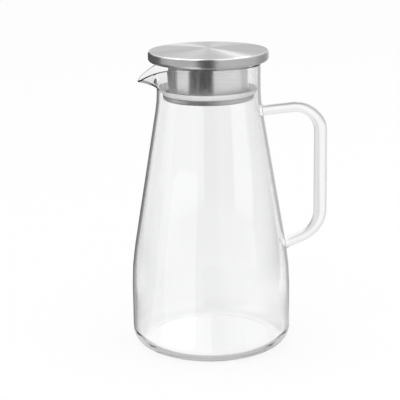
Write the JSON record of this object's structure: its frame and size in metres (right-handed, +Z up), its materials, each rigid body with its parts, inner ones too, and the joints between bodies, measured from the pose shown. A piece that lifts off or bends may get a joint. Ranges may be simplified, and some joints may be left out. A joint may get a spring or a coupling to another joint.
{
  "type": "glass pitcher",
  "caption": "Clear glass pitcher with a tapered body, a pulled spout and a D handle, closed by a lift-out steel lid with a slotted strainer collar and a soft lip seal.",
  "frame": {"origin": "centre of the flat base, on the axis of the pitcher", "axes": "+Z up along the axis of the pitcher, -X towards the spout, +X towards the handle"},
  "size_m": [0.1738, 0.138, 0.26],
  "materials": {
    "clear_glass": "clear, fire-polished",
    "brushed_steel": "circular brushing",
    "white_silicone": "satin, slightly translucent"
  },
  "bodies": {
    "pitcher": {"glass_body": "clear_glass", "handle": "clear_glass"},
    "seal": {"lip_seal": "white_silicone"},
    "lid": {"lid_cap": "brushed_steel", "lid_base_plate": "brushed_steel", "strainer_collar": "brushed_steel", "retaining_ring": "brushed_steel"}
  },
  "joints": [
    {"name": "lid_lift", "type": "slide", "parent": "pitcher", "child": "seal", "axis": [0, 0, 1], "range_m": [0, 0.06]},
    {"name": "lid_turn", "type": "hinge", "parent": "seal", "child": "lid", "pos_m": [0, 0, 0], "axis": [0, 0, 1], "continuous": true}
  ]
}
